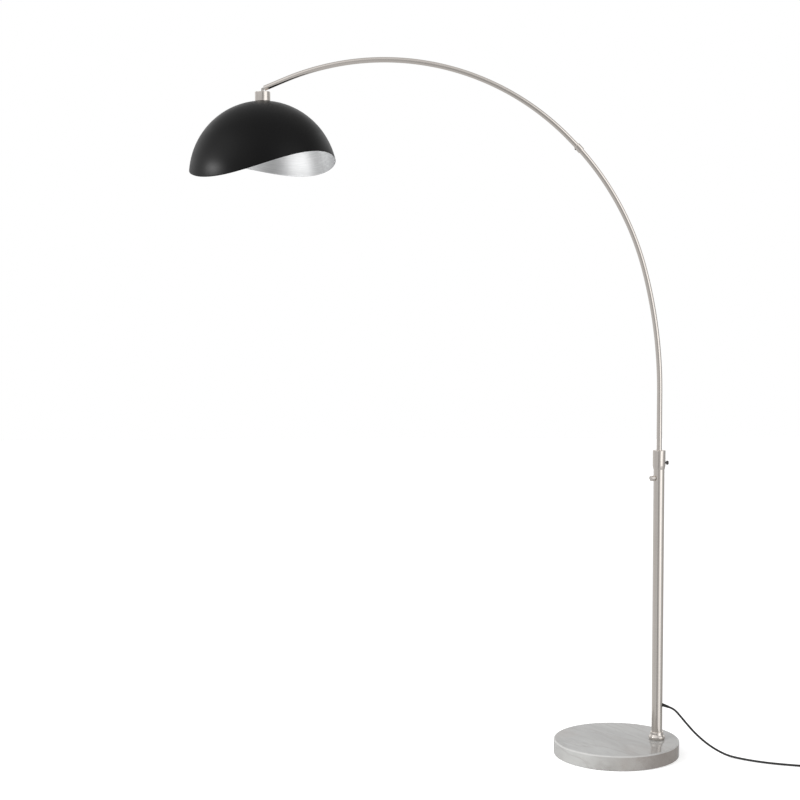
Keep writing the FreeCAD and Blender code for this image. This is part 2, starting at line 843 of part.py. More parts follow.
def make_bulb():
    """A round hollow bulb on a screw cap."""
    cap = turned(
        "bulb_cap",
        [
            (0, 0),
            ("screw_radius - 1", 0),
            ("screw_radius - 1", 2),
            ("screw_radius", 3),
            ("screw_radius", 22),
            (4.4, 27),
            (4.4, 28.6),
            (0, 28.6),
        ],
    )
    node(place(cap, (SHADE_X, 0, "cap_foot")))

    def glass(label, less):
        globe = doc.addObject("Part::Sphere", f"{label}_globe")
        bind(globe, Radius=f"bulb_radius - {less}")
        place(globe, (SHADE_X, 0, "bulb_centre"))
        start = (SHADE_X, 0, "bulb_centre + 17")
        length = "cap_foot - 0.1 - bulb_centre - 17"
        shoulder = f"bulb_radius - 5.5 - {less}"
        neck = cone(f"{label}_neck", shoulder, f"screw_radius - 0.9 - {less}", length, start, UP)
        return joined(label, [globe, neck])

    node(cut("bulb_glass", glass("bulb_outside", "0"), [glass("bulb_inside", "bulb_wall")]))


# --- cord ---------------------------------------------------------------------------------
# The cord's route, each point chosen by hand: out of the boot, over the base's edge in one
# fall to the floor, and along the floor to the coil.
DROOP = math.radians(value("boot_droop"))
BOOT_END = FreeCAD.Vector(
    value("pole_offset + pole_radius") + value("boot_length") * math.cos(DROOP),
    0,
    value("outlet_height") - value("boot_length") * math.sin(DROOP),
)
CORD_ROUTE = [
    (170.2, 0, 141.2),
    (184, -1.5, 130.5),
    (208, -7, 101.5),
    (240, -16, 65),
    (281, -28, 31),
    (327, -42, 7),
    (362, -65, 3.25),
    (407, -98, 3.25),
    (455, -122, 3.25),
    (505, -139, 3.25),
    (549, -152, 3.35),
]
COIL_ENTRY = -100
COIL_BOTTOM = "tie_thickness"
COIL_LINE = "(tie_thickness + cord_radius)"
TAIL_ROUTE = [
    (648.2, -105, 7.4),
    (650, -88, 7),
]
PLUG_BACK = FreeCAD.Vector(650.5, -70, 7.5)


def on_coil(degrees, height):
    spot = vector("coil_x", "coil_y", height)
    return spot + heading_vector(degrees) * value("coil_outer")


def cord_tube(label, points):
    """A cord along straight runs joined by tangent arcs as large as the runs allow."""
    points = [FreeCAD.Vector(*p) for p in points]
    edges = []
    spot = points[0]
    radii = []
    for before, corner, after in zip(points, points[1:], points[2:]):
        inward = (before - corner).normalize()
        outward = (after - corner).normalize()
        half_turn = (math.pi - inward.getAngle(outward)) / 2
        reach = 0.45 * min((before - corner).Length, (after - corner).Length)
        radius = reach / math.tan(half_turn)
        radii.append(round(radius, 1))
        middle = corner + (inward + outward).normalize() * (radius / math.cos(half_turn) - radius)
        edges.append(Part.LineSegment(spot, corner + inward * reach).toShape())
        edges.append(Part.Arc(corner + inward * reach, middle, corner + outward * reach).toShape())
        spot = corner + outward * reach
    edges.append(Part.LineSegment(spot, points[-1]).toShape())
    path = Part.Wire(edges)
    radius = value("cord_radius")
    circle = Part.Wire(Part.makeCircle(radius, points[0], points[1] - points[0]))
    tube = path.makePipeShell([circle], True, False, 2)
    expected = math.pi * radius**2 * path.Length
    assert abs(tube.Volume / expected - 1) < 0.002, (label, tube.Volume, expected)
    lowest = tube.optimalBoundingBox(False, False).ZMin
    print(f"{label}: {path.Length:.0f} mm, lowest {lowest:.2f}, arc radii {radii}")
    piece = doc.addObject("Part::Feature", label)
    piece.Shape = tube
    return node(piece)


def make_cord():
    cord_tube("cord_run", [tuple(BOOT_END), *CORD_ROUTE, tuple(on_coil(COIL_ENTRY, COIL_LINE))])
    top = f"{COIL_LINE} + coil_layers"
    leave = on_coil(COIL_ENTRY + 90, top)
    cord_tube("cord_tail", [tuple(leave), *TAIL_ROUTE, tuple(PLUG_BACK)])
    coil = ring(
        "cord_coil",
        "coil_inner - cord_radius",
        "coil_outer + cord_radius",
        COIL_BOTTOM,
        f"{top} + cord_radius",
        [(("coil_outer + cord_radius", f"{top} + cord_radius"), 2)],
    )
    node(place(coil, ("coil_x", "coil_y", 0)))


def make_tie():
    """A flat tie round the coil's bundle."""
    width = "coil_outer - coil_inner + 2 * cord_radius + 0.6"
    height = "2 * cord_radius + coil_layers + 0.1"
    bundle = "(coil_outer + coil_inner) / 2"
    middle = ("coil_x", f"coil_y + {bundle}", f"({height}) / 2 + tie_thickness")
    outer = block(
        "tie_outside", ("tie_width", f"{width} + 2 * tie_thickness", f"{height} + 2 * tie_thickness"),
        middle,
    )
    inner = block("tie_inside", ("tie_width + 2", width, height), middle)
    node(cut("cord_tie", outer, [inner]))


def make_plug():
    """A moulded two-blade plug lying flat beside the coil."""
    x, y, z = PLUG_BACK
    along = FreeCAD.Vector(0, 1, 0)
    tail = cone("plug_taper", "cord_radius + 0.5", 6, "plug_tail", (x, y, z), along)
    grip_middle = y + value("plug_tail + plug_depth / 2 - 1")
    grip = block("plug_grip", ("plug_width", "plug_depth", "plug_thickness"), (x, grip_middle, z))
    soft_grip = softened("plug_grip_round", grip, 3.4)
    node(joined("plug_body", [tail, soft_grip]))
    blades = [
        block(f"blade_{number}", (1.5, 17, 6.3), (x + offset, y + 45.6, z))
        for number, offset in enumerate((-value("blade_spread"), value("blade_spread")))
    ]
    pair = doc.addObject("Part::Compound", "plug_blades")
    pair.Links = blades
    node(pair)


for make in (
    make_base, make_bolt, make_pole, make_outlet, make_dimmer, make_collar, make_lock, make_arm,
    make_arm_lead, make_tip, make_knuckle, make_cup, make_lampholder, make_dome, make_bulb,
    make_cord, make_tie, make_plug,
):
    make()
doc.recompute()

for thing in doc.Objects:
    bad = {"Invalid", "Error"} & set(thing.State)
    assert not bad, (thing.Label, thing.State)
for piece in nodes:
    assert not piece.Shape.isNull() and piece.Shape.isValid(), piece.Label
    assert piece.Shape.Volume > 0, piece.Label

os.makedirs("parts", exist_ok=True)
for piece in nodes:
    piece.Shape.exportStep(os.path.join("parts", f"{piece.Label}.step"))
print(f"arm joint {JOINT}, pivot {PIVOT}, tip heading {TIP_HEADING:.2f}, cup top {CUP_TOP:.2f}")
print(f"{len(nodes)} pieces")
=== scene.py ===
import math

import bmesh
import bpy
import numpy as np
from mathutils import Matrix, Vector


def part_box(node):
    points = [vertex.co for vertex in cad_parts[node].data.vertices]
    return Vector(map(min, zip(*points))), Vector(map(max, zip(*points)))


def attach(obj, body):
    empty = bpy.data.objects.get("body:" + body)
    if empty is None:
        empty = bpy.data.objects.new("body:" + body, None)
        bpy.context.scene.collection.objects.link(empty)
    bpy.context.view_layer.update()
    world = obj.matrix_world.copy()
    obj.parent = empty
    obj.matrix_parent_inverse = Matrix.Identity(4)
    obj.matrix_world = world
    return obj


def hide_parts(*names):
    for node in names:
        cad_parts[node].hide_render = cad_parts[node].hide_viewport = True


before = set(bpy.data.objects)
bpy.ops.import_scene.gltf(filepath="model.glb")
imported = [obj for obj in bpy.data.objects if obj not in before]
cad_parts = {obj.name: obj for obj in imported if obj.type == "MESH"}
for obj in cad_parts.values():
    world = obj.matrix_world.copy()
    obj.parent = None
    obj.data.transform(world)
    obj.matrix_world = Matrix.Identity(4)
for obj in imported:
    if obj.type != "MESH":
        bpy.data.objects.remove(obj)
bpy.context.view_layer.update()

# Arc floor lamp. Places are in metres, in the lamp's own frame: the origin is the centre of the
# base's underside, +Z is up, the arm reaches towards -X, and the front is -Y.
MM = 0.001
scene = bpy.context.scene
scene.view_settings.view_transform = "Standard"


def span(node):
    """The lowest and highest corner of a frame node, as arrays."""
    low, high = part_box(node)
    return np.array(low), np.array(high)


def middle(node):
    """The centre of a frame node's box."""
    low, high = span(node)
    return (low + high) / 2


# --- camera -----------------------------------------------------------------------------------
def make_camera():
    place = (-0.6578, -5.354, 1.546)
    pitch = math.radians(90 - 4.87)
    roll = math.radians(-0.228)
    lens = bpy.data.cameras.new("camera")
    lens.lens = 80.3
    lens.sensor_width = 36
    camera = bpy.data.objects.new("camera", lens)
    scene.collection.objects.link(camera)
    turn = Matrix.Rotation(pitch, 4, "X") @ Matrix.Rotation(roll, 4, "Z")
    camera.matrix_world = Matrix.Translation(place) @ turn
    scene.camera = camera


# --- finishes ---------------------------------------------------------------------------------
class Finish:
    """A material being built: its shader, and short ways to add the nodes that feed it."""

    def __init__(self, name, colour, roughness, **constants):
        self.material = bpy.data.materials.new(name)
        self.material.use_nodes = True
        self.tree = self.material.node_tree
        self.shader = self.tree.nodes["Principled BSDF"]
        self.shader.inputs["Base Color"].default_value = (*colour, 1)
        self.shader.inputs["Roughness"].default_value = roughness
        for socket, value in constants.items():
            self.shader.inputs[socket.replace("_", " ")].default_value = value

    def node(self, kind, **settings):
        made = self.tree.nodes.new(kind)
        for name, value in settings.items():
            setattr(made, name, value)
        return made

    def feed(self, socket, source):
        """Puts a number, a colour or another node's output into a socket."""
        if isinstance(source, bpy.types.NodeSocket):
            self.tree.links.new(source, socket)
        else:
            socket.default_value = source

    def math(self, operation, *values):
        made = self.node("ShaderNodeMath", operation=operation)
        for socket, value in zip(made.inputs, values):
            self.feed(socket, value)
        return made.outputs[0]

    def place(self):
        return self.node("ShaderNodeTexCoord").outputs["Object"]

    def mapped(self, vector, scale, turn=0, shift=(0, 0, 0)):
        """The vector turned about Z and stretched, so that a pattern follows one direction."""
        turned = self.node("ShaderNodeMapping")
        self.feed(turned.inputs["Vector"], vector)
        turned.inputs["Location"].default_value = shift
        turned.inputs["Rotation"].default_value = (0, 0, math.radians(turn))
        stretched = self.node("ShaderNodeMapping")
        self.feed(stretched.inputs["Vector"], turned.outputs[0])
        stretched.inputs["Scale"].default_value = scale
        return stretched.outputs[0]

    def noise(self, vector, scale, detail=3, roughness=0.5, distortion=0):
        made = self.node("ShaderNodeTexNoise")
        self.feed(made.inputs["Vector"], vector)
        made.inputs["Scale"].default_value = scale
        made.inputs["Detail"].default_value = detail
        made.inputs["Roughness"].default_value = roughness
        made.inputs["Distortion"].default_value = distortion
        return made.outputs["Fac"]

    def between(self, value, low, high, new_low=0, new_high=1):
        """The value taken smoothly from one range to another, and held at its ends."""
        made = self.node("ShaderNodeMapRange", interpolation_type="SMOOTHSTEP")
        for socket, source in zip(made.inputs, (value, low, high, new_low, new_high)):
            self.feed(socket, source)
        return made.outputs[0]

    def mix(self, factor, first, second):
        made = self.node("ShaderNodeMix", data_type="RGBA")
        self.feed(made.inputs["Factor"], factor)
        for name, colour in (("A", first), ("B", second)):
            socket = next(s for s in made.inputs if s.name == name and s.type == "RGBA")
            self.feed(socket, colour if isinstance(colour, bpy.types.NodeSocket) else (*colour, 1))
        return next(s for s in made.outputs if s.type == "RGBA")

    def colour(self, source):
        self.feed(self.shader.inputs["Base Color"], source)

    def rough(self, source):
        self.feed(self.shader.inputs["Roughness"], source)

    def bump(self, height, depth, strength=1.0):
        """Raises the surface by height times depth, in metres."""
        made = self.node("ShaderNodeBump")
        made.inputs["Strength"].default_value = strength
        made.inputs["Distance"].default_value = depth
        self.feed(made.inputs["Height"], height)
        self.feed(self.shader.inputs["Normal"], made.outputs[0])


def brushed(name, colour, roughness, length_attribute=None, grain=1300, contrast=0.05, stretch=0):
    """Metal brushed round its own axis: fine rings that change quickly along the piece's length.

    The length is the height, or an attribute that holds the distance along a bent tube.  With
    stretch, highlights spread across the rings.
    """
    finish = Finish(name, colour, roughness, Metallic=1, Anisotropic=stretch, Anisotropic_Rotation=0.25)
    place = finish.place()
    parts = finish.node("ShaderNodeSeparateXYZ")
    finish.feed(parts.inputs[0], place)
    length = parts.outputs["Z"]
    if length_attribute:
        length = finish.node("ShaderNodeAttribute", attribute_name=length_attribute).outputs["Fac"]
    line = finish.node("ShaderNodeCombineXYZ")
    round_the_piece = 22
    for socket, source, scale in (
        (line.inputs[0], parts.outputs["X"], round_the_piece),
        (line.inputs[1], parts.outputs["Y"], round_the_piece),
        (line.inputs[2], length, grain),
    ):
        finish.feed(socket, finish.math("MULTIPLY", source, scale))
    rings = finish.noise(line.outputs[0], 1, detail=4, roughness=0.65)
    clouds = finish.noise(place, 14, detail=2)
    shade = finish.math("ADD", finish.between(rings, 0.3, 0.7), clouds)
    dark = tuple(c * (1 - contrast) for c in colour)
    light = tuple(min(1, c * (1 + contrast)) for c in colour)
    finish.colour(finish.mix(finish.math("MULTIPLY", shade, 0.55), dark, light))
    finish.rough(finish.between(rings, 0.25, 0.75, roughness - 0.03, roughness + 0.04))
    finish.bump(rings, 0.006 * MM, 0.2)
    return finish.material


def plain_metal(name, colour, roughness, scratch=260):
    """Machined or plated metal with fine scratches lying every way and dull patches."""
    finish = Finish(name, colour, roughness, Metallic=1)
    place = finish.place()
    scratches = finish.noise(finish.mapped(place, (1, 7, 1), 34), scratch, detail=4)
    patches = finish.noise(place, 60, detail=2)
    finish.colour(finish.mix(patches, tuple(0.86 * c for c in colour), colour))
    finish.rough(finish.between(scratches, 0.3, 0.7, roughness - 0.06, roughness + 0.1))
    finish.bump(scratches, 0.03 * MM, 0.4)
    return finish.material


def moulded(name, colour, roughness, texture=900, depth=0.05, **constants):
    """Moulded plastic or rubber with a fine matt texture and faint patches from handling."""
    finish = Finish(name, colour, roughness, **constants)
    place = finish.place()
    fine = finish.noise(place, texture, detail=2)
    patches = finish.noise(place, 45, detail=3)
    finish.colour(finish.mix(patches, tuple(0.8 * c for c in colour), tuple(1.2 * c for c in colour)))
    finish.rough(finish.between(patches, 0.3, 0.7, roughness - 0.06, roughness + 0.08))
    finish.bump(fine, depth * MM, 0.5)
    return finish.material


def satin_black():
    """Satin black paint: almost no colour of its own, a fine spray texture, faint handling marks."""
    finish = Finish("satin_black_paint", (0.003, 0.003, 0.0032), 0.34, Specular_IOR_Level=0.17)
    place = finish.place()
    spray = finish.noise(place, 750, detail=3)
    marks = finish.noise(finish.mapped(place, (1, 1, 2.4)), 7, detail=4, distortion=0.6)
    finish.colour(finish.mix(marks, (0.002, 0.002, 0.0022), (0.004, 0.004, 0.0042)))
    finish.rough(finish.between(marks, 0.35, 0.7, 0.37, 0.43))
    finish.bump(spray, 0.035 * MM, 0.4)
    return finish.material


def polished_marble(centre, radius, top):
    """Grey-white marble: cloudy bands and thin veins that all run one way, with brownish stains in places.

    The side is painted darker and browner towards +X: painted shade, where less light falls on it. The
    rounded upper edge is paler: a painted highlight, where light catches it.
    """
    finish = Finish("polished_marble", (0.6, 0.6, 0.59), 0.12, Specular_IOR_Level=0.5)
    place = finish.mapped(finish.place(), (1, 1, 1), 0, (-centre[0], -centre[1], 0))
    grain = finish.mapped(place, (1.0, 4.6, 4.6), 60)
    clouds = finish.noise(grain, 2.6, detail=6, roughness=0.55, distortion=0.35)
    streaks = finish.noise(grain, 8, detail=7, roughness=0.6, distortion=0.5)
    ground = finish.mix(finish.between(clouds, 0.32, 0.66), (0.31, 0.307, 0.298), (0.40, 0.40, 0.39))
    ground = finish.mix(finish.between(streaks, 0.45, 0.72, 0, 0.5), ground, (0.285, 0.275, 0.265))
    for scale, width, strength, tint in (
        (1.7, 0.03, 0.3, (0.227, 0.21, 0.197)),
        (3.9, 0.02, 0.2, (0.26, 0.235, 0.218)),
    ):
        field = finish.noise(grain, scale, detail=4, roughness=0.5, distortion=0.4)
        distance = finish.math("ABSOLUTE", finish.math("SUBTRACT", field, 0.5))
        vein = finish.between(distance, 0, width, strength, 0)
        ground = finish.mix(vein, ground, tint)
    stain = finish.noise(finish.mapped(place, (1, 1, 0.6)), 5.5, detail=3, distortion=0.3)
    ground = finish.mix(finish.between(stain, 0.5, 0.72, 0, 0.35), ground, (0.335, 0.29, 0.26))
    across = finish.node("ShaderNodeSeparateXYZ")
    finish.feed(across.inputs[0], place)
    x, y, z = across.outputs
    # Painted shade: the side is mixed darker and browner towards +X, and only faintly on the top, where
    # less light falls.
    painted_shade_right = finish.math("MULTIPLY", finish.between(x, -0.16, 0.2, 0, 0.8),
                        finish.between(z, top - 5 * MM, top - 2 * MM, 1, 0.15))
    ground = finish.mix(painted_shade_right, ground, (0.205, 0.175, 0.155))
    # Painted highlight: a paler band on the rounded upper edge, where light catches it. out is the distance
    # from the disc's axis.
    square = finish.math("ADD", finish.math("MULTIPLY", x, x), finish.math("MULTIPLY", y, y))
    out = finish.math("SQRT", square)
    edge = finish.math("MULTIPLY", finish.between(out, radius - 5 * MM, radius - 2 * MM),
                       finish.between(z, top - 5 * MM, top - 3 * MM, 0, 0.6))
    ground = finish.mix(edge, ground, (0.56, 0.555, 0.545))
    crystals = finish.noise(place, 420, detail=2)
    finish.colour(finish.mix(finish.between(crystals, 0.4, 0.75, 0, 0.08), ground, (0.6, 0.6, 0.6)))
    finish.rough(finish.between(streaks, 0.35, 0.7, 0.06, 0.1))
    finish.bump(crystals, 0.005 * MM, 0.12)
    return finish.material


def wool_felt():
    finish = Finish("wool_felt", (0.02, 0.02, 0.021), 0.95, Sheen_Weight=0.4)
    place = finish.place()
    fibres = finish.noise(place, 520, detail=5, distortion=1.6)
    finish.colour(finish.mix(fibres, (0.012, 0.012, 0.013), (0.05, 0.05, 0.052)))
    finish.bump(fibres, 0.25 * MM, 0.8)
    return finish.material


def opal_glass():
    finish = Finish("opal_glass", (0.86, 0.85, 0.82), 0.22, Coat_Weight=0.4, Coat_Roughness=0.08)
    place = finish.place()
    cloud = finish.noise(place, 60, detail=4)
    finish.colour(finish.mix(cloud, (0.83, 0.82, 0.78), (0.89, 0.885, 0.86)))
    finish.rough(finish.between(cloud, 0.3, 0.7, 0.18, 0.3))
    finish.bump(cloud, 0.03 * MM, 0.3)
    return finish.material


# --- meshes -----------------------------------------------------------------------------------
def mesh_piece(name, points, body, materials, replaced=(), along=None, loop=False,
               row_material=None):
    """A mesh from a grid of points, whose rows run along the shape and whose columns go round it.

    With loop, the last row joins the first.  Columns always join.  Rows that have shrunk to a
    point are merged.  along holds each row's distance along the piece, for the grain, and
    row_material each row's place in the list of materials.
    """
    rows, columns = points.shape[:2]
    i = np.arange(rows if loop else rows - 1)[:, None]
    j = np.arange(columns)[None, :]
    following = (i + 1) % rows
    beside = (j + 1) % columns
    corners = [i * columns + j, i * columns + beside, following * columns + beside, following * columns + j]
    faces = np.stack([np.broadcast_to(c, (len(i), columns)) for c in corners], axis=-1).reshape(-1, 4)
    mesh = bpy.data.meshes.new(name)
    mesh.from_pydata(points.reshape(-1, 3).tolist(), [], faces.tolist())
    for material in materials:
        mesh.materials.append(material)
    if row_material is not None:
        face_material = np.repeat(row_material[: len(i)], columns).astype(np.int32)
        mesh.polygons.foreach_set("material_index", face_material)
    if along is not None:
        attribute = mesh.attributes.new("along", "FLOAT", "POINT")
        attribute.data.foreach_set("value", np.repeat(along, columns).astype(np.float32))
    shape = bmesh.new()
    shape.from_mesh(mesh)
    bmesh.ops.remove_doubles(shape, verts=shape.verts, dist=1e-7)
    shape.to_mesh(mesh)
    shape.free()
    mesh.shade_smooth()
    mesh.set_sharp_from_angle(angle=math.radians(40))
    piece = bpy.data.objects.new(name, mesh)
    scene.collection.objects.link(piece)
    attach(piece, body)
    if replaced:
        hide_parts(*replaced)
    return piece


def rounded(corners, closed=True, step=9):
    """An outline of (x, y, radius) corners, each corner turned into an arc of its radius."""
    count = len(corners)
    spots = np.array([c[:2] for c in corners], float)
    outline = []
    for k, (x, y, radius) in enumerate(corners):
        corner = np.array([x, y], float)
        if radius == 0 or (not closed and k in (0, count - 1)):
            outline.append(corner[None])
            continue
        back = spots[k - 1] - corner
        ahead = spots[(k + 1) % count] - corner
        back /= np.linalg.norm(back)
        ahead /= np.linalg.norm(ahead)
        half = math.acos(np.clip(back @ ahead, -1, 1)) / 2
        centre = corner + (back + ahead) / np.linalg.norm(back + ahead) * radius / math.sin(half)
        first = corner + back * radius / math.tan(half) - centre
        last = corner + ahead * radius / math.tan(half) - centre
        sweep = math.pi - 2 * half
        angle = np.linspace(0, sweep, max(3, math.ceil(math.degrees(sweep) / step) + 1))[:, None]
        arc = (np.sin(sweep - angle) * first + np.sin(angle) * last) / math.sin(sweep)
        outline.append(centre + arc)
    return np.concatenate(outline)


def axes(direction):
    """Two unit vectors across a direction, which make a right-handed set with it."""
    direction = np.array(direction, float) / np.linalg.norm(direction)
    helper = np.array([0, 1, 0]) if abs(direction[1]) < 0.9 else np.array([1, 0, 0])
    first = np.cross(helper, direction)
    first /= np.linalg.norm(first)
    return first, np.cross(direction, first), direction


def turned(name, corners, at, body, materials, slot, direction=(0, 0, 1), columns=96, closed=True,
           replaced=(), ripple=None):
    """A profile of (radius, height, round) corners in millimetres, carried round an axis.

    point = at + direction * height + radius * (cos a * first + sin a * second).  The profile
    runs up the outside and down the inside.  ripple changes the radius by angle and height.
    """
    profile = rounded(corners, closed) * MM
    angle = np.arange(columns) / columns * math.tau
    first, second, along = axes(direction)
    radius = np.broadcast_to(profile[:, :1], (len(profile), columns))
    height = np.broadcast_to(profile[:, 1:], (len(profile), columns))
    if ripple is not None:
        radius = radius + ripple(angle[None, :], radius, height)
    ring = np.cos(angle)[:, None] * first + np.sin(angle)[:, None] * second
    points = np.array(at) + radius[..., None] * ring + height[..., None] * along
    return mesh_piece(name, points, body, materials, replaced, along=profile[:, 1], loop=closed)


def swept(name, path, tangents, radii, body, materials, replaced=(), columns=40, loop=True,
          along=None):
    """A circle of each row's radius carried along a path in the XZ plane.

    point = path + radius * (cos a * (Y x tangent) + sin a * Y).
    """
    angle = np.arange(columns) / columns * math.tau
    side = np.array([0.0, 1.0, 0.0])
    normal = np.cross(side, tangents)
    ring = np.cos(angle)[None, :, None] * normal[:, None] + np.sin(angle)[None, :, None] * side
    points = path[:, None] + np.asarray(radii)[:, None, None] * ring
    return mesh_piece(name, points, body, materials, replaced, along=along, loop=loop)


def line_of(start, heading, runs, step=0.8):
    """Points, tangents and distances along straight and arc runs that turn left in the XZ plane.

    Each run is (length,) or (radius, turn) in millimetres and degrees, after a start in metres.
    """
    spot = np.array(start, float)
    points, headings, lengths = [spot[None]], [np.array([heading])], [np.zeros(1)]
    gone = 0.0
    for run in runs:
        if len(run) == 1:
            share = np.array([1.0])
            size = run[0] * MM
            bend = 0.0
            turn = math.radians(heading)
            step_by = np.array([math.cos(turn), 0, math.sin(turn)]) * size
            new = spot + share[:, None] * step_by
        else:
            radius = run[0] * MM
            bend = run[1]
            share = np.arange(1, math.ceil(bend / step) + 1) / math.ceil(bend / step)
            size = radius * math.radians(bend)
            turn = np.radians(heading + bend * share)
            start_turn = math.radians(heading)
            x = radius * (np.sin(turn) - math.sin(start_turn))
            z = radius * (math.cos(start_turn) - np.cos(turn))
            new = spot + np.stack([x, 0 * x, z], axis=-1)
        points.append(new)
        headings.append(heading + bend * share)
        lengths.append(gone + size * share)
        spot = new[-1]
        heading += bend
        gone += size
    angle = np.radians(np.concatenate(headings))
    tangents = np.stack([np.cos(angle), 0 * angle, np.sin(angle)], axis=-1)
    return np.concatenate(points), tangents, np.concatenate(lengths), heading


def wear(node, material):
    """Gives a frame node that stays a finish of its own."""
    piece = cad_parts[node]
    piece.data.materials.clear()
    piece.data.materials.append(material)


# --- materials in use -------------------------------------------------------------------------
NICKEL = (0.80, 0.748, 0.70)
nickel = brushed("brushed_nickel", NICKEL, 0.17)
tube_nickel = brushed("brushed_nickel_tube", NICKEL, 0.17, "along")
bright_nickel = plain_metal("polished_nickel", (0.8, 0.76, 0.72), 0.16)
dark_steel = plain_metal("blackened_steel", (0.16, 0.155, 0.15), 0.34)
zinc = plain_metal("zinc_steel", (0.66, 0.67, 0.68), 0.36)
brass = plain_metal("brass", (0.78, 0.6, 0.3), 0.26)
spun_silver = brushed("spun_silver", (0.80, 0.805, 0.81), 0.42, "along", grain=420, contrast=0.14,
                      stretch=0.6)
paint = satin_black()
felt = wool_felt()
opal = opal_glass()
rubber = moulded("black_rubber", (0.012, 0.012, 0.012), 0.55)
jacket = moulded("cord_jacket", (0.018, 0.018, 0.018), 0.48, texture=700)
plug_plastic = moulded("plug_plastic", (0.016, 0.016, 0.016), 0.42)
phenolic = moulded("phenolic", (0.03, 0.026, 0.024), 0.38)
nylon = moulded("nylon", (0.55, 0.54, 0.5), 0.5)
tie_cloth = moulded("tie_cloth", (0.02, 0.02, 0.02), 0.85, texture=400, depth=0.3)
dimmer_plastic = moulded("dimmer_case", (0.05, 0.05, 0.055), 0.5)

# --- places from the frame --------------------------------------------------------------------
POLE = middle("lower_pole")[:2]
SHADE = middle("shade_ring")[:2]
MARBLE_TOP = span("marble_base")[1][2]
POLE_RADIUS = (span("lower_pole")[1][0] - span("lower_pole")[0][0]) / 2


def pole_at(z=0.0):
    return np.array([POLE[0], POLE[1], z])


def shade_at(z=0.0):
    return np.array([SHADE[0], SHADE[1], z])


# --- cord -------------------------------------------------------------------------------------
CORD_DIAMETER = 0.0065
BOOT_END = (0.159294, 0, 0.145160)
CORD_ROUTE = [
    (0.1702, 0, 0.1412),
    (0.184, -0.0015, 0.1305),
    (0.208, -0.007, 0.1015),
    (0.240, -0.016, 0.065),
    (0.281, -0.028, 0.031),
    (0.327, -0.042, 0.007),
    (0.362, -0.065, 0.00325),
    (0.407, -0.098, 0.00325),
    (0.455, -0.122, 0.00325),
    (0.505, -0.139, 0.00325),
    (0.549, -0.152, 0.00335),
]
TAIL_ROUTE = [(0.6482, -0.105, 0.0074), (0.650, -0.088, 0.0070)]
PLUG_BACK = (0.6505, -0.070, 0.0075)
COIL_CENTRE = (0.600, -0.118)
COIL_OUTER, COIL_INNER = 0.04525, 0.029
COIL_LOW, COIL_HIGH = 0.00375, 0.01045
TURNS_PER_LAYER = 2.5
POINTS_PER_TURN = 12
COIL_ENTRY = math.radians(-100)


def coil_turns():
    """Control points of the coil: inwards in the lower layer, up, then outwards in the upper.

    A quarter turn at the inner radius climbs between the layers.  The spline runs inside its
    control points by the cosine of half their spacing, so the radii are divided by that.
    """
    per_turn = math.tau / POINTS_PER_TURN
    layer = int(TURNS_PER_LAYER * POINTS_PER_TURN)
    climb = POINTS_PER_TURN // 4
    steps = np.arange(2 * layer + climb + 1)
    inwards = np.clip(steps / layer, 0, 1)
    outwards = np.clip((steps - layer - climb) / layer, 0, 1)
    radius = COIL_OUTER - (COIL_OUTER - COIL_INNER) * (inwards - outwards)
    radius = radius / math.cos(per_turn / 2)
    height = COIL_LOW + (COIL_HIGH - COIL_LOW) * np.clip((steps - layer) / climb, 0, 1)
    angle = COIL_ENTRY + steps * per_turn
    x = COIL_CENTRE[0] + radius * np.cos(angle)
    y = COIL_CENTRE[1] + radius * np.sin(angle)
    return np.stack([x, y, height], axis=-1)


def make_cord():
    """The mains cord: one smooth line from the boot, down to the floor and round its coil."""
    points = np.concatenate([[BOOT_END], CORD_ROUTE, coil_turns(), TAIL_ROUTE, [PLUG_BACK]])
    line = bpy.data.curves.new("mains_cord", "CURVE")
    line.dimensions = "3D"
    spline = line.splines.new("NURBS")
    spline.points.add(len(points) - 1)
    spline.points.foreach_set("co", np.column_stack([points, np.ones(len(points))]).ravel())
    spline.order_u = 3
    spline.use_endpoint_u = True
    spline.resolution_u = 5
    line.bevel_depth = CORD_DIAMETER / 2
    line.bevel_resolution = 4
    line.use_fill_caps = True
    line.materials.append(jacket)
    cord = bpy.data.objects.new("mains_cord", line)
    scene.collection.objects.link(cord)
    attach(cord, "root")
    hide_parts("cord_run", "cord_coil", "cord_tail")


def make_boot():
    """The strain relief: a lip against the pole, then a ribbed taper that droops with the cord.

    Its line leaves the pole level and turns down in a short arc.  Lengths are in millimetres.
    """
    droop = math.radians(20)
    length, start, reach = 20.0, 3.2, 2.2
    thick, thin, end_hole = 5.0, 3.9, 2.9
    rib_depth, rib_spacing = 0.32, 2.4
    face = np.array([POLE[0] + POLE_RADIUS, 0, BOOT_END[2] + length * MM * math.sin(droop)])
    level = np.array([1.0, 0, 0])
    down = np.array([math.cos(droop), 0, -math.sin(droop)])
    turn = np.linspace(0, 1, 6)[1:]
    outside = np.linspace(start, length, 57)
    bend = [(1 - t) ** 2 * -reach * level + t**2 * reach * down for t in turn]
    wave = np.cos((outside - 4) / rib_spacing * math.tau) * 0.5 + 0.5
    ribs = rib_depth * wave * (outside > 5.2) * (outside < 17.5)
    taper = thick - (outside - start) / (length - start) * (thick - thin) - ribs
    lip_places = np.array([-4.0, -0.2, -0.2, 0.0, 1.0, 1.5]) - reach * 0.4
    lip_radii = [4.7, 4.7, 5.6, 5.95, 5.9, 5.4]
    path = np.concatenate([
        face + level * MM * lip_places[:, None],
        face + np.array(bend) * MM,
        face + down * MM * outside[:, None],
        [face + down * length * MM],
    ])
    radii = np.concatenate([lip_radii, np.full(len(turn), thick), taper, [end_hole]]) * MM
    tangents = np.concatenate([np.tile(level, (6, 1)), np.tile(down, (len(turn) + len(outside) + 1, 1))])
    return swept("cord_boot", path, tangents, radii, "root", [rubber],
                 ["cord_strain_relief"], columns=32, loop=False)


